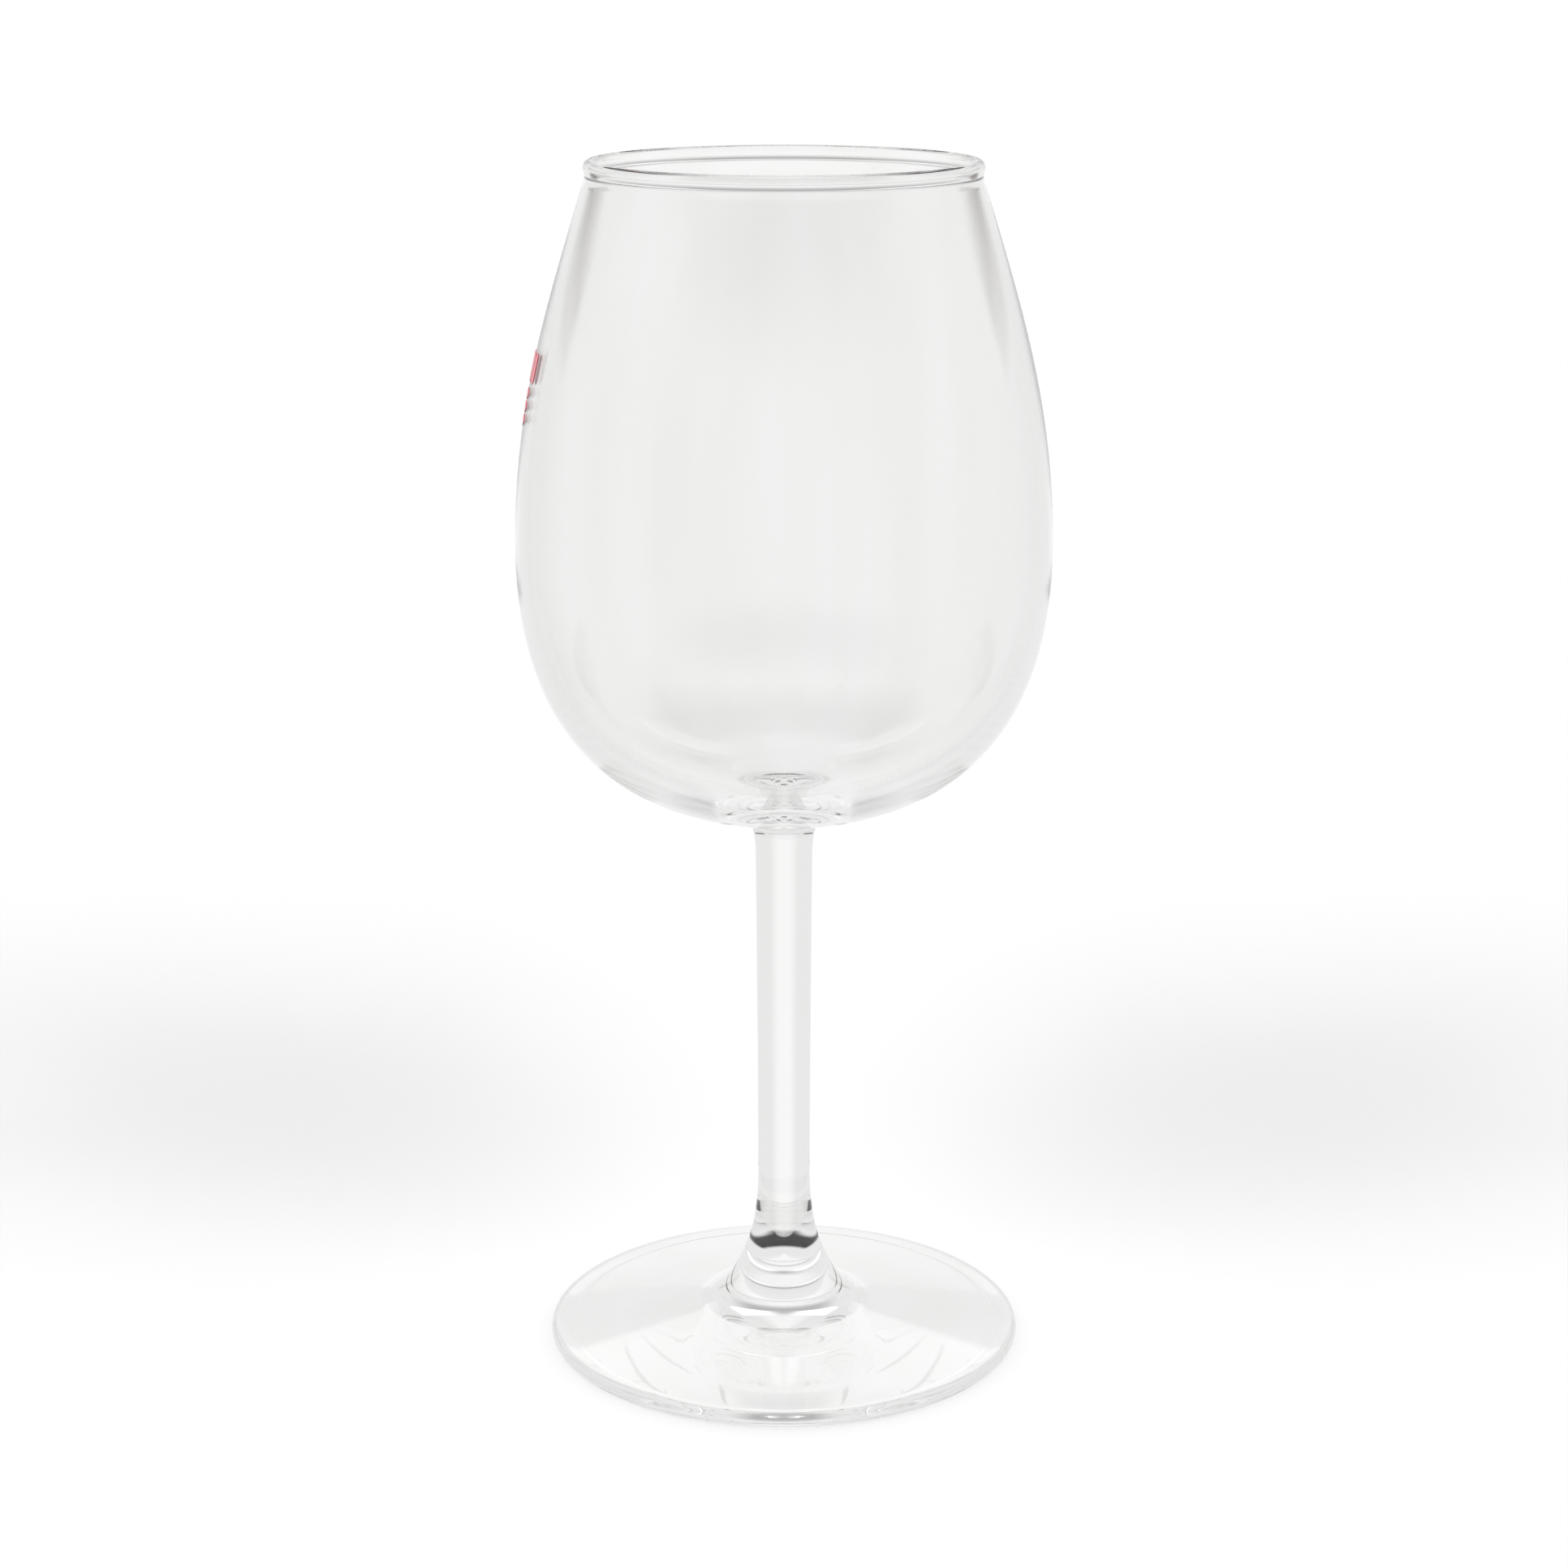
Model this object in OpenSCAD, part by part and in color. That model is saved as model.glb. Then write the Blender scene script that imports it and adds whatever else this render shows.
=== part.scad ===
// Stemmed wine glass: a tulip bowl with a bead rim, a drawn stem and a pressed round foot, fused
// together while hot, with an enamel print of bars over lozenges fired on to the bowl.
// Millimetres, +Z up, origin at the centre of the foot on the table.

/* [Overall] */
// Height from the table to the top of the rim
glass_h = 190; // [186:1:200]
// Height of the weld between the stem and the bowl
bowl_weld_z = 86; // [78:1:90]
// Height of the weld between the foot and the stem
foot_weld_z = 15.2; // [13:0.2:18]

/* [Bowl] */
// Greatest outer diameter
belly_d = 83; // [78:1:88]
// Height of the widest level above the bowl's weld
belly_up = 44.45; // [41:0.05:47]
// Outer diameter just under the rim bead
neck_d = 60.1; // [57:0.1:64]
// Angle of the wall from the vertical, just under the rim bead
neck_lean = 17.36; // [14:0.02:20]
// Wall thickness just under the rim bead
neck_wall = 1.2; // [1:0.05:1.5]
// Wall thickness at the widest level
belly_wall = 1.7; // [1.4:0.05:2]
// Glass thickness on the axis, from the underside's apex to the inside
bottom_wall = 3.44; // [2.8:0.02:4.2]
// Radial width of the rim bead
bead_w = 1.9; // [1.7:0.05:2.2]
// Height of the rim bead
bead_h = 2.5; // [2.2:0.05:3]

/* [Stem] */
// Diameter of the stem's waist
waist_d = 8.4; // [7.6:0.1:9.2]
// Diameter near the top, under the flare
upper_d = 9; // [8.6:0.1:10]
// Diameter at the weld to the bowl
bowl_weld_d = 10.3; // [9.9:0.1:10.9]
// Diameter at the weld to the foot
foot_weld_d = 12.08; // [11.6:0.02:12.8]
// Angle of the flare from the vertical at the weld to the foot
foot_weld_lean = 21.6; // [16:0.2:25]

/* [Foot] */
// Outer diameter
foot_d = 76.4; // [70:0.2:82]
// Radius of the rounded edge
edge_r = 1.25; // [1:0.05:1.5]
// Slope of the top face above the horizontal, beside the centre boss
cone_slope = 8; // [6:0.5:9]
// Diameter at which the top face turns up into the boss
boss_d = 28.6; // [26:0.2:32]
// Height of the top face there
boss_h = 5.7; // [5:0.1:6.4]
// Height of the hollow underside above the table, on the axis
hollow_h = 1.15; // [0.8:0.05:1.6]
// Radial width of the flat ring on the table
ring_w = 2.15; // [1:0.05:3]
// Height of the step from the ring up to the hollow underside
step_h = 0.1; // [0.05:0.05:0.3]
// Radial width of that step
step_w = 0.8; // [0.6:0.1:1.4]

/* [Print] */
// Thickness of the enamel
enamel = 0.1; // [0.05:0.05:0.2]
// Angle by which the print is turned from -X towards -Y
print_turn = 6.5; // [0:0.5:20]
// Number of upright bars
bar_count = 4; // [2:1:6]
// Height of a bar
bar_h = 4.4; // [3:0.2:4.6]
// Width of a bar
bar_w = 1.5; // [1:0.1:1.8]
// Distance from one bar to the next
bar_pitch = 2.1; // [2:0.1:3]
// Number of lozenges, one under another
lozenge_count = 3; // [2:1:4]
// Height of a lozenge
lozenge_h = 1.8; // [1.2:0.1:1.8]
// Width of a lozenge
lozenge_w = 3.6; // [2.4:0.2:6]
// Distance from one lozenge to the next
lozenge_pitch = 2; // [1.9:0.1:2.4]
// Height of the bars' middle below the rim
bars_drop = 30.6; // [29:0.2:33]
// Height of the lozenges' middle below the rim
lozenges_drop = 36.6; // [36.4:0.1:38]

/* [Hidden] */
$fn = 96;

glass_tint = [0.86, 0.9, 0.9, 0.4];
enamel_red = [0.36, 0.07, 0.09];

wall_steps = 20;
blend_steps = 10;
bead_steps = 8;
step_steps = 6;

// Widest level, the wall's ends under the bead, and the bowl's two apexes on the axis
neck_drop = 2.65;
apex_rise = 1.86;
belly_z = bowl_weld_z + belly_up;
neck_z = glass_h - neck_drop;
under_apex_z = bowl_weld_z + apex_rise;
inner_apex_z = under_apex_z + bottom_wall;
neck_out = [neck_d / 2, neck_z];
neck_in = [neck_d / 2 - neck_wall, neck_z];
belly_out = [belly_d / 2, belly_z];
belly_in = [belly_d / 2 - belly_wall, belly_z];

// Handle lengths of the outer wall's curves, as shares of the height or radius that they span
upper_h = neck_z - belly_z;
lower_h = belly_z - under_apex_z;
neck_pull = 0.347 * upper_h;
belly_pull = 0.396 * upper_h;
flank_pull = 0.4895 * lower_h;
apex_pull = 0.8067 * belly_out[0];

// The same for the inner wall, as shares of the outer wall's handles or of the inner radius
inner_neck_pull = 0.987 * neck_pull;
inner_belly_pull = 0.983 * belly_pull;
inner_flank_pull = 0.94 * flank_pull;
inner_apex_pull = 0.7915 * belly_in[0];

// The blend between the stem and the underside: the share of the underside's curve that it takes the
// place of, its lean from the vertical at the weld, and its handle lengths
blend_share = 0.114;
bowl_weld_lean = 23;
blend_low_pull = 1.23;
blend_high_pull = 2.6;

// The rim bead: an ellipse that stands proud of the wall a little, and that starts and ends inside it
bead_proud = 0.25;
bead_sunk = 0.02;
bead_mid = [neck_d / 2 + bead_proud - bead_w / 2, glass_h - bead_h / 2];
bead_from = -acos((neck_out[0] - bead_sunk - bead_mid[0]) / (bead_w / 2));
bead_top = 90;
bead_to = 360 - acos((neck_in[0] + bead_sunk - bead_mid[0]) / (bead_w / 2));

// The stem's curves: where the waist and the upper flare are, and their handle lengths
waist_rise = 12.8;
upper_drop = 6;
upper_lean = 0.46;
trumpet_low_pull = 2.3;
trumpet_high_pull = 6.8;
taper_low_pull = 17;
taper_high_pull = 25;
flare_low_pull = 3.5;
flare_high_pull = 1.06;

// The foot's curves: handle lengths of the boss, and the underside's handles as shares of its size
boss_low_pull = 5;
boss_high_pull = 3.8;
under_flat_share = 0.2;
under_wide_share = 0.64;
under_low_share = 0.15;
edge_bottom = -90;
edge_top = 80;

// Curve helpers
function bezier(p, n, from = 0, to = 1) =
    [for (i = [0 : n]) bezier_at(p, from + (to - from) * i / n)];
function bezier_at(p, t) =
    pow(1 - t, 3) * p[0] + 3 * pow(1 - t, 2) * t * p[1] + 3 * (1 - t) * t * t * p[2] + pow(t, 3) * p[3];
function bezier_dir(p, t) =
    unit(pow(1 - t, 2) * (p[1] - p[0]) + 2 * (1 - t) * t * (p[2] - p[1]) + t * t * (p[3] - p[2]));
function unit(v) = v / norm(v);
function leaning(angle) = [sin(angle), cos(angle)];
function arc(mid, rx, rz, from, to, n) =
    [for (i = [0 : n]) let (a = from + (to - from) * i / n) mid + [rx * cos(a), rz * sin(a)]];
function rest(points) = [for (i = [1 : len(points) - 1]) points[i]];
function reversed(points) = [for (i = [len(points) - 1 : -1 : 0]) points[i]];

// The wall's four control curves, each running upwards
outer_lower = [[0, under_apex_z], [apex_pull, under_apex_z], belly_out - [0, flank_pull], belly_out];
outer_upper = [belly_out, belly_out + [0, belly_pull],
               neck_out - neck_pull * leaning(-neck_lean), neck_out];
inner_lower = [[0, inner_apex_z], [inner_apex_pull, inner_apex_z],
               belly_in - [0, inner_flank_pull], belly_in];
inner_upper = [belly_in, belly_in + [0, inner_belly_pull],
               neck_in - inner_neck_pull * leaning(-neck_lean), neck_in];

// The blend from the weld out to the underside
bowl_weld = [bowl_weld_d / 2, bowl_weld_z];
blend_end = bezier_at(outer_lower, blend_share);
blend = [bowl_weld, bowl_weld + blend_low_pull * leaning(bowl_weld_lean),
         blend_end - blend_high_pull * bezier_dir(outer_lower, blend_share), blend_end];

outer_upper_points = bezier(outer_upper, wall_steps);

module bowl() {
    profile = concat(
        [[0, bowl_weld_z]],
        bezier(blend, blend_steps),
        rest(bezier(outer_lower, wall_steps, blend_share)),
        rest(outer_upper_points),
        arc(bead_mid, bead_w / 2, bead_h / 2, bead_from, bead_top, bead_steps),
        rest(arc(bead_mid, bead_w / 2, bead_h / 2, bead_top, bead_to, bead_steps)),
        reversed(bezier(inner_upper, wall_steps)),
        rest(reversed(bezier(inner_lower, wall_steps))));
    color(glass_tint)
        rotate_extrude() polygon(profile);
}

// The stem: a trumpet flare up to the waist, a slow taper, and a short flare under the bowl
foot_weld = [foot_weld_d / 2, foot_weld_z];
waist = [waist_d / 2, foot_weld_z + waist_rise];
upper = [upper_d / 2, bowl_weld_z - upper_drop];
trumpet = [foot_weld, foot_weld + trumpet_low_pull * leaning(-foot_weld_lean),
           waist - [0, trumpet_high_pull], waist];
taper = [waist, waist + [0, taper_low_pull], upper - taper_high_pull * leaning(upper_lean), upper];
flare = [upper, upper + flare_low_pull * leaning(upper_lean),
         bowl_weld - flare_high_pull * leaning(bowl_weld_lean), bowl_weld];

module stem() {
    profile = concat(
        [[0, foot_weld_z]],
        bezier(trumpet, blend_steps),
        rest(bezier(taper, blend_steps)),
        rest(bezier(flare, blend_steps)),
        [[0, bowl_weld_z]]);
    color(glass_tint)
        rotate_extrude() polygon(profile);
}

// The foot: a flat ring on the table, a small step up to the hollow underside, a rounded edge and a
// shallow cone that runs up into the boss
foot_r = foot_d / 2;
ring_in_r = foot_r - edge_r - ring_w;
step_r = ring_in_r - step_w;
step_mid = ring_in_r - step_w / 2;
underside = [[0, hollow_h], [under_flat_share * step_r, hollow_h],
             [under_wide_share * step_r, step_h + under_low_share * (hollow_h - step_h)], [step_r, step_h]];
step = [[step_r, step_h], [step_mid, step_h], [step_mid, 0], [ring_in_r, 0]];
edge = arc([foot_r - edge_r, edge_r], edge_r, edge_r, edge_bottom, edge_top, blend_steps);
boss_from = [boss_d / 2, boss_h];
boss = [boss_from, boss_from - boss_low_pull * leaning(90 + cone_slope),
        foot_weld - boss_high_pull * leaning(-foot_weld_lean), foot_weld];
cone_from = edge[len(edge) - 1];
cone_run = (cone_from[0] - boss_from[0]) / 3;
cone = [cone_from, cone_from + (boss_from - cone_from) / 3,
        boss_from + [cone_run, -cone_run * tan(cone_slope)], boss_from];

module foot() {
    profile = concat(
        bezier(underside, wall_steps),
        rest(bezier(step, step_steps)),
        edge,
        rest(bezier(cone, blend_steps)),
        rest(bezier(boss, blend_steps)),
        [[0, foot_weld_z]]);
    color(glass_tint)
        rotate_extrude() polygon(profile);
}

// A skin of enamel on the bowl's upper wall, cut to the shapes given
module print_on_bowl(mid_z) {
    skin = concat(
        outer_upper_points,
        reversed([for (p = outer_upper_points) p + [enamel, 0]]));
    color(enamel_red)
        intersection() {
            rotate_extrude() polygon(skin);
            rotate(print_turn)
                translate([0, 0, mid_z])
                    rotate([90, 0, -90])
                        linear_extrude(belly_d) children();
        }
}

module printed_bars() {
    print_on_bowl(glass_h - bars_drop)
        for (i = [0 : bar_count - 1])
            translate([(i - (bar_count - 1) / 2) * bar_pitch, 0])
                square([bar_w, bar_h], center = true);
}

module printed_lozenges() {
    print_on_bowl(glass_h - lozenges_drop)
        for (i = [0 : lozenge_count - 1])
            translate([0, (i - (lozenge_count - 1) / 2) * lozenge_pitch])
                polygon([[0, -lozenge_h / 2], [lozenge_w / 2, 0], [0, lozenge_h / 2], [-lozenge_w / 2, 0]]);
}

bowl();
stem();
foot();
printed_bars();
printed_lozenges();
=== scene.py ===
"""A stemmed wine glass on a pale studio floor: clear bowl, stem and foot, and a red enamel print."""
import math

import bmesh
import bpy
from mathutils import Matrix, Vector


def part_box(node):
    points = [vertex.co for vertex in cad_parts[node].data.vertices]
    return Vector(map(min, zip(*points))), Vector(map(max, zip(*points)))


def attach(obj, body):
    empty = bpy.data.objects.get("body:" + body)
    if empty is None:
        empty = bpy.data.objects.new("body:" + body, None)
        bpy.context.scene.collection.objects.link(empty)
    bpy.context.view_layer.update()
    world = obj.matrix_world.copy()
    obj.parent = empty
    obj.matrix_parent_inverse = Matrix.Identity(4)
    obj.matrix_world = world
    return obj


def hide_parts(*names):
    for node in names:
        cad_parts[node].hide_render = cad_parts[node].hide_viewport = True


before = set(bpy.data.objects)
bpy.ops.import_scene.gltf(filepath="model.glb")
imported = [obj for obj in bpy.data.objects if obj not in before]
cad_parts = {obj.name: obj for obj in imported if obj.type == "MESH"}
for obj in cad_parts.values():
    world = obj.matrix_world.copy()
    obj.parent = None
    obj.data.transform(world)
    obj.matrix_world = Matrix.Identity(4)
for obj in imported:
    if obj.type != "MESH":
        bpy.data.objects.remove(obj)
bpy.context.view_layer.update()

MM = 0.001
BODY = "root"

# --- Sizes, in millimetres: from the frame's boxes, and the same driving values as the CAD model ---


def box_mm(node):
    """Lowest and highest corner of a CAD node, in millimetres."""
    low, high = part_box(node)
    return Vector(low) / MM, Vector(high) / MM


BOWL_LOW, BOWL_HIGH = box_mm("bowl")
STEM_LOW, STEM_HIGH = box_mm("stem")
FOOT_HIGH = box_mm("foot")[1]
BARS_LOW, BARS_HIGH = box_mm("printed_bars")
LOZENGES_LOW, LOZENGES_HIGH = box_mm("printed_lozenges")

GLASS_H = BOWL_HIGH.z
BOWL_WELD_Z = BOWL_LOW.z
FOOT_WELD_Z = STEM_LOW.z
BELLY_R = BOWL_HIGH.x
FOOT_R = FOOT_HIGH.x
FOOT_WELD_R = STEM_HIGH.x

BELLY_UP = 44.45
NECK_R = 30.05
NECK_LEAN = math.radians(17.36)
NECK_WALL = 1.2
BELLY_WALL = 1.7
BOTTOM_WALL = 3.44
BEAD_W = 1.9
BEAD_H = 2.5
BEAD_PROUD = 0.25
WELD_R = 5.15
WAIST_R = 4.2
UPPER_R = 4.5
FOOT_WELD_LEAN = math.radians(21.6)
BOWL_WELD_LEAN = math.radians(23)
UPPER_LEAN = math.radians(0.46)
EDGE_R = 1.25
CONE_SLOPE = math.radians(8)
BOSS_R = 14.3
BOSS_H = 5.7
HOLLOW_H = 1.15
STEP_H = 0.1
STEP_W = 0.8
RING_IN_R = 34.8
ENAMEL = 0.1
PRINT_TURN = math.radians(6.5)
BAR_COUNT = 4
BAR_PITCH = 2.1
BAR_W = 1.5
LOZENGE_COUNT = 3
LOZENGE_PITCH = 2.0
LOZENGE_W = 3.6
BAR_CORNER = 0.8
BAR_CORNER_POWER = 12
LOZENGE_TIP_W = 0.08
ENAMEL_SUNK = 0.01

# Where the curves start and end, and their handle lengths: in millimetres, or as shares of the height
# or radius that a curve spans
NECK_DROP = 2.65
APEX_RISE = 1.86
NECK_PULL = 0.347
BELLY_PULL = 0.396
FLANK_PULL = 0.4895
APEX_PULL = 0.8067
INNER_NECK_PULL = 0.3425
INNER_BELLY_PULL = 0.3893
INNER_FLANK_SHARE = 0.94
INNER_APEX_PULL = 0.7915
BEAD_SUNK = 0.02
BLEND_START = 0.114
BLEND_LOW_PULL = 1.23
BLEND_HIGH_PULL = 2.6
WAIST_RISE = 12.8
UPPER_DROP = 6
TRUMPET_LOW_PULL = 2.3
TRUMPET_HIGH_PULL = 6.8
TAPER_LOW_PULL = 17
TAPER_HIGH_PULL = 25
FLARE_LOW_PULL = 3.5
FLARE_HIGH_PULL = 1.06
BOSS_LOW_PULL = 5.0
BOSS_HIGH_PULL = 3.8
UNDER_FLAT_SHARE = 0.2
UNDER_WIDE_SHARE = 0.64
UNDER_LOW_SHARE = 0.15
EDGE_BOTTOM = -90
EDGE_TOP = 80

BELLY_Z = BOWL_WELD_Z + BELLY_UP
UNDER_APEX_Z = BOWL_WELD_Z + APEX_RISE
INNER_APEX_Z = UNDER_APEX_Z + BOTTOM_WALL
NECK_Z = GLASS_H - NECK_DROP
UPPER_SPAN = NECK_Z - BELLY_Z
LOWER_SPAN = BELLY_Z - UNDER_APEX_Z

# How finely the pieces are built
ROUND = 192
ON_AXIS = 1e-6
UNDER_STEPS = 28
STEP_STEPS = 8
EDGE_STEPS = 16
CONE_STEPS = 24
BOSS_STEPS = 36
TRUMPET_STEPS = 30
TAPER_STEPS = 24
FLARE_STEPS = 14
BLEND_STEPS = 20
WALL_STEPS = 48
BEAD_STEPS = 40
INNER_UPPER_STEPS = 44
WALL_LOOKUP_STEPS = 96
PRINT_ROWS = 14
PRINT_COLUMNS = 6

# --- Materials and studio values -----------------------------------------------------------------

GLASS_IOR = 1.5
WAVE_STRETCH = (90, 90, 7)
WAVE_BUMP = 0.02
WAVE_DEPTH = 0.0004
ENAMEL_REDS = ((0.30, 0.045, 0.06, 1), (0.46, 0.10, 0.12, 1))
ENAMEL_GRAIN = 900.0
ENAMEL_BUMP = 0.15
ENAMEL_DEPTH = 0.00003
ENAMEL_ROUGH = 0.25
ENAMEL_ROUGH_RANGE = 0.25
ENAMEL_COAT = 0.4
GLASS_TINT = ((0.904, 0.896, 0.884, 1), (0.972, 0.979, 0.982, 1))
FLOOR_ALBEDO = 0.35
FLOOR_GLOW = 0.045
FLOOR_SIDE = 4.0
FLOOR_GAP = 0.1 * MM
LAMP_POWER = 2.7
LAMP_SPREAD = math.radians(33)
LAMP_UP = math.radians(37)
LAMPS_ASIDE = [math.radians(turn) for turn in (-54, -32, 32, 54)]
WORLD_PALE = (1.0, 1.0, 1.0, 1)
WORLD_SIDE = (0.86, 0.86, 0.86, 1)
WORLD_WHITE = (1.02, 1.02, 1.02, 1)
FLAG_BROWN = (0.10, 0.075, 0.06, 1)
ROOM_DARK = (0.05, 0.05, 0.055, 1)
# Painted shade: the near-black that the glass shows in place of the shaded floor under its foot
PAINTED_FLOOR_SHADE = (0.015, 0.015, 0.015, 1)
WORLD_LEDGE = (0.5, 0.5, 0.5, 1)
WORLD_SOFTBOX = (1.55, 1.55, 1.55, 1)

# The camera's place, in heights of the glass, and its aim and lens
CAMERA_BACK = 2.64332
CAMERA_UP = 1.20404
CAMERA_DOWN = 0.26436
CAMERA_SENSOR = 36.0
CAMERA_LENS = 75.69

# Zones of the studio world, in degrees: from and to aside, from and to up, and how soft the edges are
# each way. Aside is 0 straight behind the glass and 180 behind the camera.
FLAGS_ZONE = (28, 60, 4.5, 10, 3, 1.5)
BEHIND_ZONE = (120, 200, 24, 55, 20, 8)
# The patch of painted shade: below the horizon behind the camera, where the glass would see the floor under
# its foot
PAINTED_SHADE_ZONE = (104, 200, -66, -41, 8, 4)
SOFTBOX_ZONE = (7, 32, 29.3, 40, 7, 0.8)

# Where the ledge and the sides fade, in radians: the first angle has none of it, the second all of it
LEDGE_ASIDE = (math.radians(30), math.radians(14))
LEDGE_BELOW = (0, math.radians(26))
LEDGE_ABOVE = (math.radians(44), math.radians(28))
SIDES_FADE = (math.radians(6), math.radians(24))
STREAK_GREY = (0.3, 0.3, 0.29, 1)
STREAK_STRETCH = (1, 1, 0.12)
STREAK_SCALE = 9.0

LIGHT_BOUNCES = 64
CLEAR_BOUNCES = 24

# --- Outlines: lists of (radius, height), running from the axis under the foot to the axis inside ---


def bezier(a, b, c, d, steps, start=0.0):
    """Points on a cubic curve, from its share start to its end."""
    points = []
    for i in range(steps + 1):
        t = start + (1 - start) * i / steps
        s = 1 - t
        points.append(s ** 3 * a + 3 * s * s * t * b + 3 * s * t * t * c + t ** 3 * d)
    return points


def arc(middle, rx, rz, start, end, steps):
    """Points on an ellipse's arc; the angles are in degrees."""
    turns = [math.radians(start + (end - start) * i / steps) for i in range(steps + 1)]
    return [middle + Vector((rx * math.cos(t), rz * math.sin(t))) for t in turns]


def at(r, z):
    return Vector((r, z))


def leaning(angle):
    """The direction that leans out from the upward one by an angle."""
    return at(math.sin(angle), math.cos(angle))


def foot_outline():
    step_r = RING_IN_R - STEP_W
    step_mid = step_r + STEP_W / 2
    under_low = STEP_H + UNDER_LOW_SHARE * (HOLLOW_H - STEP_H)
    under = bezier(at(0, HOLLOW_H), at(UNDER_FLAT_SHARE * step_r, HOLLOW_H),
                   at(UNDER_WIDE_SHARE * step_r, under_low), at(step_r, STEP_H), UNDER_STEPS)
    step = bezier(under[-1], at(step_mid, STEP_H), at(step_mid, 0), at(RING_IN_R, 0), STEP_STEPS)
    edge = arc(at(FOOT_R - EDGE_R, EDGE_R), EDGE_R, EDGE_R, EDGE_BOTTOM, EDGE_TOP, EDGE_STEPS)
    start = at(BOSS_R, BOSS_H)
    weld_point = at(FOOT_WELD_R, FOOT_WELD_Z)
    boss = bezier(start, start - BOSS_LOW_PULL * leaning(math.pi / 2 + CONE_SLOPE),
                  weld_point - BOSS_HIGH_PULL * leaning(-FOOT_WELD_LEAN), weld_point, BOSS_STEPS)
    run = (edge[-1].x - start.x) / 3
    cone = bezier(edge[-1], edge[-1] + (start - edge[-1]) / 3,
                  start + at(run, -run * math.tan(CONE_SLOPE)), start, CONE_STEPS)
    return under + step[1:] + edge + cone[1:] + boss[1:]


def stem_outline():
    low = at(FOOT_WELD_R, FOOT_WELD_Z)
    waist = at(WAIST_R, FOOT_WELD_Z + WAIST_RISE)
    upper = at(UPPER_R, BOWL_WELD_Z - UPPER_DROP)
    high = at(WELD_R, BOWL_WELD_Z)
    trumpet = bezier(low, low + TRUMPET_LOW_PULL * leaning(-FOOT_WELD_LEAN),
                     waist - at(0, TRUMPET_HIGH_PULL), waist, TRUMPET_STEPS)
    taper = bezier(waist, waist + at(0, TAPER_LOW_PULL),
                   upper - TAPER_HIGH_PULL * leaning(UPPER_LEAN), upper, TAPER_STEPS)
    flare = bezier(upper, upper + FLARE_LOW_PULL * leaning(UPPER_LEAN),
                   high - FLARE_HIGH_PULL * leaning(BOWL_WELD_LEAN), high, FLARE_STEPS)
    return trumpet + taper[1:] + flare[1:]


def outer_upper_curve(steps):
    neck = at(NECK_R, NECK_Z)
    return bezier(at(BELLY_R, BELLY_Z), at(BELLY_R, BELLY_Z + BELLY_PULL * UPPER_SPAN),
                  neck - NECK_PULL * UPPER_SPAN * leaning(-NECK_LEAN), neck, steps)


def bowl_outline():
    flank = FLANK_PULL * LOWER_SPAN
    lower = bezier(at(0, UNDER_APEX_Z), at(APEX_PULL * BELLY_R, UNDER_APEX_Z), at(BELLY_R, BELLY_Z - flank),
                   at(BELLY_R, BELLY_Z), WALL_STEPS, BLEND_START)
    along = (lower[1] - lower[0]).normalized()
    low = at(WELD_R, BOWL_WELD_Z)
    blend = bezier(low, low + BLEND_LOW_PULL * leaning(BOWL_WELD_LEAN),
                   lower[0] - BLEND_HIGH_PULL * along, lower[0], BLEND_STEPS)
    neck_in = at(NECK_R - NECK_WALL, NECK_Z)
    belly_in = at(BELLY_R - BELLY_WALL, BELLY_Z)
    middle = at(NECK_R + BEAD_PROUD - BEAD_W / 2, GLASS_H - BEAD_H / 2)
    start = -math.degrees(math.acos((NECK_R - BEAD_SUNK - middle.x) / (BEAD_W / 2)))
    end = 360 - math.degrees(math.acos((neck_in.x + BEAD_SUNK - middle.x) / (BEAD_W / 2)))
    bead = arc(middle, BEAD_W / 2, BEAD_H / 2, start, end, BEAD_STEPS)
    inner_upper = bezier(neck_in, neck_in - INNER_NECK_PULL * UPPER_SPAN * leaning(-NECK_LEAN),
                         belly_in + at(0, INNER_BELLY_PULL * UPPER_SPAN), belly_in, INNER_UPPER_STEPS)
    inner_lower = bezier(belly_in, belly_in - at(0, INNER_FLANK_SHARE * flank),
                         at(INNER_APEX_PULL * belly_in.x, INNER_APEX_Z), at(0, INNER_APEX_Z), WALL_STEPS)
    outer_upper = outer_upper_curve(WALL_STEPS)
    return blend + lower[1:] + outer_upper[1:] + bead + inner_upper + inner_lower[1:]


def outline_normals(points):
    """The outward normal at each point, square to the mean direction of the outline there."""
    normals = []
    for i, point in enumerate(points):
        before = points[max(i - 1, 0)]
        after = points[min(i + 1, len(points) - 1)]
        way = (point - before).normalized() + (after - point).normalized()
        normals.append(Vector((way.y, -way.x)).normalized())
    normals[0] = Vector((0, -1))
    normals[-1] = Vector((0, 1))
    return normals


# --- Meshes --------------------------------------------------------------------------------------


def link(name, mesh):
    piece = bpy.data.objects.new(name, mesh)
    bpy.context.scene.collection.objects.link(piece)
    return piece


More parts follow.
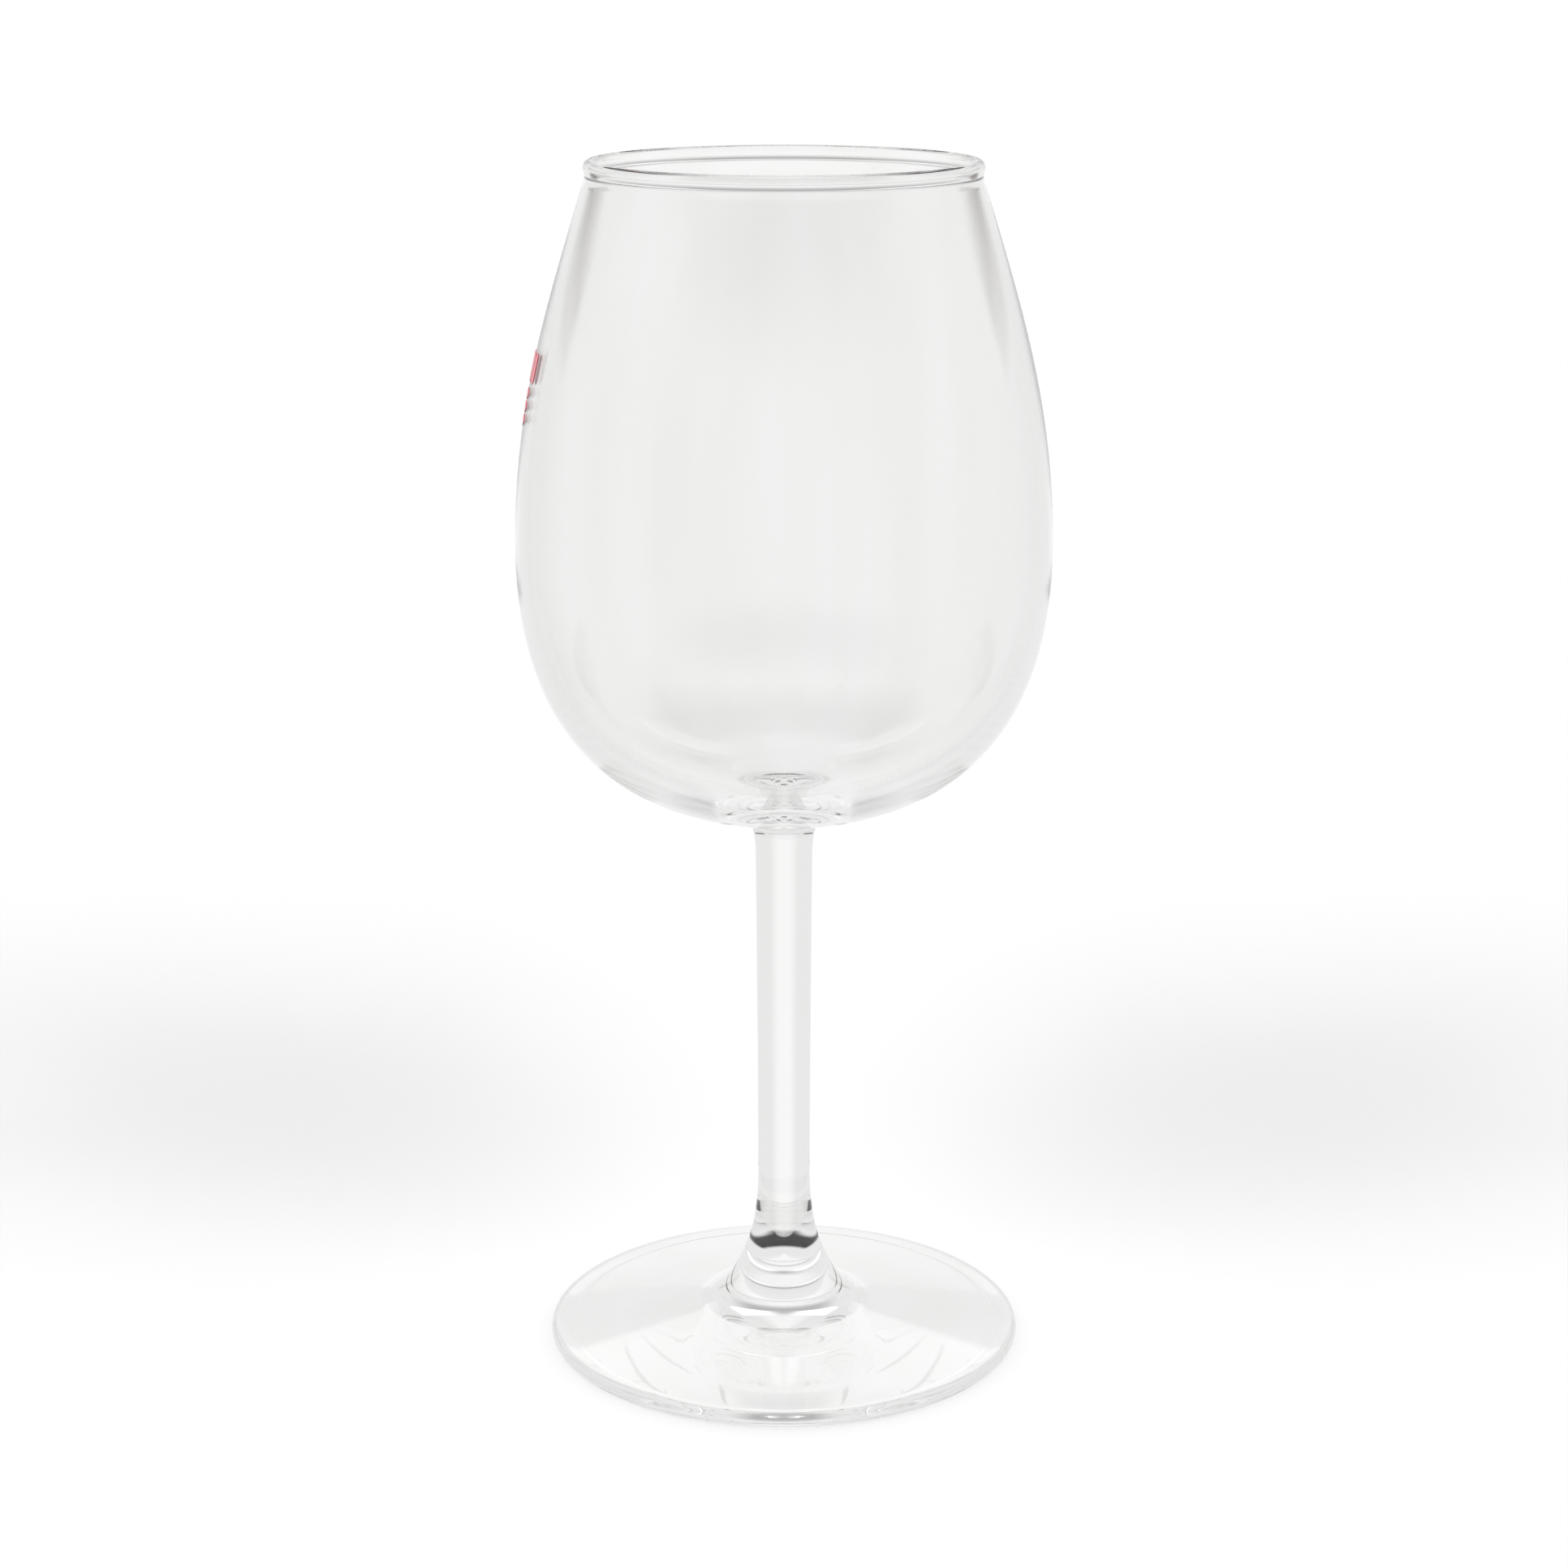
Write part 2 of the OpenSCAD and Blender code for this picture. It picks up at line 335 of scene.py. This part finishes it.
def revolved(name, outline, normals, weld_below, weld_above):
    """A closed piece of glass turned round the axis, with the outline's exact normals. An end that is
    welded to the next piece is closed by a flat disc, which takes the second material."""
    verts, rings = [], []
    for point in outline:
        if point.x < ON_AXIS:
            rings.append([len(verts)] * ROUND)
            verts.append((0, 0, point.y * MM))
            continue
        rings.append(list(range(len(verts), len(verts) + ROUND)))
        for k in range(ROUND):
            turn = 2 * math.pi * k / ROUND
            verts.append((point.x * MM * math.cos(turn), point.x * MM * math.sin(turn), point.y * MM))
    faces, corner_normals, slots = [], [], []

    def out(ring, k):
        turn = 2 * math.pi * k / ROUND
        return (normals[ring].x * math.cos(turn), normals[ring].x * math.sin(turn), normals[ring].y)

    for a in range(len(rings) - 1):
        for k in range(ROUND):
            m = (k + 1) % ROUND
            corners = [(a, k), (a, m), (a + 1, m), (a + 1, k)]
            kept = []
            for ring, turn in corners:
                if rings[ring][turn] not in [rings[r][t] for r, t in kept]:
                    kept.append((ring, turn))
            faces.append([rings[r][t] for r, t in kept])
            corner_normals += [out(r, t) for r, t in kept]
            slots.append(0)
    for ring, height, up in ((0, weld_below, -1), (-1, weld_above, 1)):
        if height is None:
            continue
        middle = len(verts)
        verts.append((0, 0, height * MM))
        for k in range(ROUND):
            m = (k + 1) % ROUND
            pair = (rings[ring][k], rings[ring][m]) if up > 0 else (rings[ring][m], rings[ring][k])
            faces.append([middle, *pair])
            corner_normals += [(0, 0, up)] * 3
            slots.append(1)
    mesh = bpy.data.meshes.new(name)
    mesh.from_pydata(verts, [], faces)
    mesh.polygons.foreach_set("use_smooth", [slot == 0 for slot in slots])
    mesh.polygons.foreach_set("material_index", slots)
    mesh.normals_split_custom_set(corner_normals)
    mesh.update()
    return link(name, mesh)


def wall_radius(z):
    """Outer radius of the bowl's upper wall at a height."""
    curve = outer_upper_curve(WALL_LOOKUP_STEPS)
    for low, high in zip(curve, curve[1:]):
        if low.y <= z <= high.y:
            return low.x + (high.x - low.x) * (z - low.y) / (high.y - low.y)
    raise ValueError(f"no wall at height {z}")


def printed(name, patches):
    """Thin patches of enamel on the bowl's -X side, turned a little towards -Y. Each patch has a middle
    across and a middle height, its height, and its width for a share of that height from -1 to 1."""
    rows, columns = PRINT_ROWS, PRINT_COLUMNS
    cos, sin = math.cos(PRINT_TURN), math.sin(PRINT_TURN)
    bm = bmesh.new()
    for middle, middle_z, height, width_at in patches:
        sheets = []
        for lift in (ENAMEL, -ENAMEL_SUNK):
            grid = []
            for i in range(rows + 1):
                share = 2 * i / rows - 1
                z = middle_z + share * height / 2
                radius = wall_radius(z) + lift
                row = []
                for j in range(columns + 1):
                    across = middle + width_at(share) * (j / columns - 0.5)
                    out = -math.sqrt(radius ** 2 - across ** 2)
                    place = (out * cos - across * sin, out * sin + across * cos, z)
                    row.append(bm.verts.new([v * MM for v in place]))
                grid.append(row)
            sheets.append(grid)
        top, under = sheets
        for i in range(rows):
            for j in range(columns):
                bm.faces.new((top[i][j], top[i + 1][j], top[i + 1][j + 1], top[i][j + 1]))
                bm.faces.new((under[i][j], under[i][j + 1], under[i + 1][j + 1], under[i + 1][j]))
            bm.faces.new((top[i][0], under[i][0], under[i + 1][0], top[i + 1][0]))
            bm.faces.new((top[i][-1], top[i + 1][-1], under[i + 1][-1], under[i][-1]))
        for j in range(columns):
            bm.faces.new((top[0][j], top[0][j + 1], under[0][j + 1], under[0][j]))
            bm.faces.new((top[-1][j], under[-1][j], under[-1][j + 1], top[-1][j + 1]))
    bmesh.ops.recalc_face_normals(bm, faces=bm.faces)
    mesh = bpy.data.meshes.new(name)
    bm.to_mesh(mesh)
    bm.free()
    return link(name, mesh)


# --- Materials -----------------------------------------------------------------------------------


class Nodes:
    """Makes the nodes of one material or world, and links them."""

    def __init__(self, owner):
        owner.use_nodes = True
        self.tree = owner.node_tree
        self.tree.nodes.clear()

    def add(self, kind, **values):
        """A node whose attributes are the plain values, and whose inputs are those in a dict called ins."""
        node = self.tree.nodes.new(kind)
        ins = values.pop("ins", {})
        for key, value in values.items():
            setattr(node, key, value)
        for key, value in ins.items():
            if isinstance(value, bpy.types.NodeSocket):
                self.tree.links.new(value, node.inputs[key])
            else:
                node.inputs[key].default_value = value
        return node

    def maths(self, operation, *values):
        return self.add("ShaderNodeMath", operation=operation, ins=dict(enumerate(values))).outputs[0]

    def between(self, value, low, high):
        """0 below low, 1 above high, and smooth between."""
        ins = {"Value": value, "From Min": low, "From Max": high}
        return self.add("ShaderNodeMapRange", interpolation_type="SMOOTHSTEP", ins=ins).outputs[0]

    def mix(self, factor, a, b):
        """Colour a at factor 0 and b at factor 1."""
        ins = {"Factor": factor, "A": a, "B": b}
        node = self.tree.nodes.new("ShaderNodeMix")
        node.data_type = "RGBA"
        for socket in node.inputs:
            if socket.enabled and socket.name in ins:
                value = ins[socket.name]
                if isinstance(value, bpy.types.NodeSocket):
                    self.tree.links.new(value, socket)
                else:
                    socket.default_value = value
        return next(s for s in node.outputs if s.enabled)


def clear_glass():
    """Soda-lime glass with the faint upright waves that blowing into a mould leaves."""
    glass = bpy.data.materials.new("clear_glass")
    n = Nodes(glass)
    place = n.add("ShaderNodeTexCoord").outputs["Object"]
    stretched = n.add("ShaderNodeMapping", ins={"Vector": place, "Scale": WAVE_STRETCH}).outputs[0]
    waves = n.add("ShaderNodeTexNoise", ins={
        "Vector": stretched, "Scale": 1.0, "Detail": 3.0}).outputs["Fac"]
    bump = n.add("ShaderNodeBump", ins={
        "Strength": WAVE_BUMP, "Distance": WAVE_DEPTH, "Height": waves}).outputs[0]
    tint = n.mix(waves, GLASS_TINT[0], GLASS_TINT[1])
    shader = n.add("ShaderNodeBsdfPrincipled", ins={
        "Base Color": tint, "Roughness": 0.0, "IOR": GLASS_IOR, "Transmission Weight": 1.0, "Normal": bump})
    n.add("ShaderNodeOutputMaterial", ins={"Surface": shader.outputs[0]})
    return glass


def weld():
    """The fused joint between two pieces of glass, where light sees no surface."""
    seam = bpy.data.materials.new("fused_joint")
    n = Nodes(seam)
    clear = n.add("ShaderNodeBsdfTransparent")
    n.add("ShaderNodeOutputMaterial", ins={"Surface": clear.outputs[0]})
    return seam


def enamel():
    """Dark red fired enamel: slightly uneven in colour, and satin where the glaze has pulled."""
    ink = bpy.data.materials.new("red_enamel")
    n = Nodes(ink)
    place = n.add("ShaderNodeTexCoord").outputs["Object"]
    cloud = n.add("ShaderNodeTexNoise", ins={
        "Vector": place, "Scale": ENAMEL_GRAIN, "Detail": 4.0}).outputs["Fac"]
    colour = n.mix(cloud, *ENAMEL_REDS)
    rough = n.maths("MULTIPLY_ADD", cloud, ENAMEL_ROUGH_RANGE, ENAMEL_ROUGH)
    bump = n.add("ShaderNodeBump", ins={
        "Strength": ENAMEL_BUMP, "Distance": ENAMEL_DEPTH, "Height": cloud}).outputs[0]
    shader = n.add("ShaderNodeBsdfPrincipled", ins={
        "Base Color": colour, "Roughness": rough, "Normal": bump, "Coat Weight": ENAMEL_COAT})
    n.add("ShaderNodeOutputMaterial", ins={"Surface": shader.outputs[0]})
    return ink


def studio_floor_paint():
    paint = bpy.data.materials.new("studio_floor")
    n = Nodes(paint)
    shader = n.add("ShaderNodeBsdfPrincipled", ins={
        "Base Color": (FLOOR_ALBEDO, FLOOR_ALBEDO, FLOOR_ALBEDO, 1), "Roughness": 0.9,
        "Specular IOR Level": 0.0, "Emission Color": (1, 1, 1, 1), "Emission Strength": FLOOR_GLOW})
    n.add("ShaderNodeOutputMaterial", ins={"Surface": shader.outputs[0]})
    return paint


# --- Studio --------------------------------------------------------------------------------------


def studio_world():
    """A pale room with brown flags, a ledge and a softbox behind the glass, and a dark room above behind
    the camera. Below the horizon behind the camera is painted shade: a near-black patch that the glass
    shows where it would see the shaded floor under its foot. The camera itself sees plain white."""
    world = bpy.data.worlds.new("studio")
    bpy.context.scene.world = world
    n = Nodes(world)
    way = n.add("ShaderNodeTexCoord").outputs["Generated"]
    split = n.add("ShaderNodeSeparateXYZ", ins={"Vector": way})
    x, y, z = split.outputs
    aside = n.maths("ABSOLUTE", n.maths("ARCTAN2", x, y))
    up = n.maths("ARCSINE", z)

    def zone(low_aside, high_aside, low_up, high_up, soft_aside, soft_up):
        """1 inside a patch of directions given in degrees, with soft edges."""
        a0, a1, u0, u1, a, u = (
            math.radians(v) for v in (low_aside, high_aside, low_up, high_up, soft_aside, soft_up))
        sides = [n.between(aside, a0 - a, a0 + a), n.between(aside, a1 + a, a1 - a),
                 n.between(up, u0 - u, u0 + u), n.between(up, u1 + u, u1 - u)]
        share = sides[0]
        for side in sides[1:]:
            share = n.maths("MULTIPLY", share, side)
        return share

    # The third zone, below, is painted shade: near-black in place of the shaded floor under the foot
    flags, behind, below, softbox = (
        zone(*place) for place in (FLAGS_ZONE, BEHIND_ZONE, PAINTED_SHADE_ZONE, SOFTBOX_ZONE))
    ledge = n.maths("MULTIPLY", n.between(aside, *LEDGE_ASIDE), n.maths(
        "MULTIPLY", n.between(up, *LEDGE_BELOW), n.between(up, *LEDGE_ABOVE)))
    stretched = n.add("ShaderNodeMapping", ins={"Vector": way, "Scale": STREAK_STRETCH}).outputs[0]
    streaks = n.add("ShaderNodeTexNoise", ins={
        "Vector": stretched, "Scale": STREAK_SCALE, "Detail": 3.0}).outputs["Fac"]
    streaked = n.mix(streaks, ROOM_DARK, STREAK_GREY)
    colour = n.mix(n.between(aside, *SIDES_FADE), WORLD_PALE, WORLD_SIDE)
    colour = n.mix(ledge, colour, WORLD_LEDGE)
    colour = n.mix(softbox, colour, WORLD_SOFTBOX)
    colour = n.mix(flags, colour, FLAG_BROWN)
    colour = n.mix(behind, colour, streaked)
    # Painted shade: near-black below the horizon behind the camera, standing in for the shaded floor under
    # the foot
    colour = n.mix(below, colour, PAINTED_FLOOR_SHADE)
    seen = n.add("ShaderNodeLightPath").outputs["Is Camera Ray"]
    colour = n.mix(seen, colour, WORLD_WHITE)
    background = n.add("ShaderNodeBackground", ins={"Color": colour, "Strength": 1.0})
    n.add("ShaderNodeOutputWorld", ins={"Surface": background.outputs[0]})


def studio_floor():
    bm = bmesh.new()
    bmesh.ops.create_grid(bm, x_segments=2, y_segments=2, size=FLOOR_SIDE / 2)
    mesh = bpy.data.meshes.new("studio_floor")
    bm.to_mesh(mesh)
    bm.free()
    mesh.materials.append(studio_floor_paint())
    floor = link("studio_floor", mesh)
    floor.location.z = -FLOOR_GAP
    floor.visible_transmission = False
    floor.visible_glossy = False


def soft_lamp(name, aside):
    """A broad lamp on the camera's side, which glass doesn't mirror."""
    lamp = bpy.data.lights.new(name, "SUN")
    lamp.energy = LAMP_POWER
    lamp.angle = LAMP_SPREAD
    light = link(name, lamp)
    towards = Vector((math.sin(aside) * math.cos(LAMP_UP), -math.cos(aside) * math.cos(LAMP_UP),
                      math.sin(LAMP_UP)))
    light.rotation_euler = towards.to_track_quat("Z", "Y").to_euler()
    light.visible_glossy = False
    light.visible_transmission = False


def camera():
    data = bpy.data.cameras.new("camera")
    data.sensor_width = CAMERA_SENSOR
    data.lens = CAMERA_LENS
    data.clip_end = 100
    view = link("camera", data)
    height = GLASS_H * MM
    view.location = (0, -CAMERA_BACK * height, CAMERA_UP * height)
    view.rotation_euler = (math.pi / 2 - CAMERA_DOWN, 0, 0)
    bpy.context.scene.camera = view


def light_paths():
    """Enough bounces for light that runs inside the glass."""
    cycles = bpy.context.scene.cycles
    cycles.max_bounces = LIGHT_BOUNCES
    cycles.transmission_bounces = LIGHT_BOUNCES
    cycles.glossy_bounces = LIGHT_BOUNCES
    cycles.transparent_max_bounces = CLEAR_BOUNCES
    bpy.context.scene.view_settings.view_transform = "Standard"


# --- The pieces ----------------------------------------------------------------------------------


def glass_pieces():
    foot, stem, bowl = foot_outline(), stem_outline(), bowl_outline()
    whole = foot + stem[1:] + bowl[1:]
    normals = outline_normals(whole)
    weld_1 = len(foot) - 1
    weld_2 = weld_1 + len(stem) - 1
    glass, seam = clear_glass(), weld()
    parts = (
        ("foot_glass", "foot", 0, weld_1, None, FOOT_WELD_Z),
        ("stem_glass", "stem", weld_1, weld_2, FOOT_WELD_Z, BOWL_WELD_Z),
        ("bowl_glass", "bowl", weld_2, len(whole) - 1, BOWL_WELD_Z, None))
    for name, node, first, last, below, above in parts:
        piece = revolved(name, whole[first:last + 1], normals[first:last + 1], below, above)
        piece.data.materials.append(glass)
        piece.data.materials.append(seam)
        piece.visible_shadow = node == "bowl"
        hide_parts(node)
        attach(piece, BODY)


def print_pieces():
    red = enamel()

    def spread(count, pitch):
        return [(i - (count - 1) / 2) * pitch for i in range(count)]

    def bar_width(share):
        return BAR_W * math.sqrt(1 - BAR_CORNER * abs(share) ** BAR_CORNER_POWER)

    def lozenge_width(share):
        return max(LOZENGE_W * (1 - abs(share)), LOZENGE_TIP_W)

    bars_z = (BARS_LOW.z + BARS_HIGH.z) / 2
    bar_h = BARS_HIGH.z - BARS_LOW.z
    lozenges_z = (LOZENGES_LOW.z + LOZENGES_HIGH.z) / 2
    lozenge_h = LOZENGES_HIGH.z - LOZENGES_LOW.z - (LOZENGE_COUNT - 1) * LOZENGE_PITCH
    bars = printed("enamel_bars", [(y, bars_z, bar_h, bar_width) for y in spread(BAR_COUNT, BAR_PITCH)])
    lozenges = printed("enamel_lozenges", [
        (0, lozenges_z + z, lozenge_h, lozenge_width) for z in spread(LOZENGE_COUNT, LOZENGE_PITCH)])
    for piece, node in ((bars, "printed_bars"), (lozenges, "printed_lozenges")):
        piece.data.materials.append(red)
        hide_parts(node)
        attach(piece, BODY)


camera()
light_paths()
studio_world()
studio_floor()
for number, aside in enumerate(LAMPS_ASIDE):
    soft_lamp(f"lamp_{number}", aside)
glass_pieces()
print_pieces()
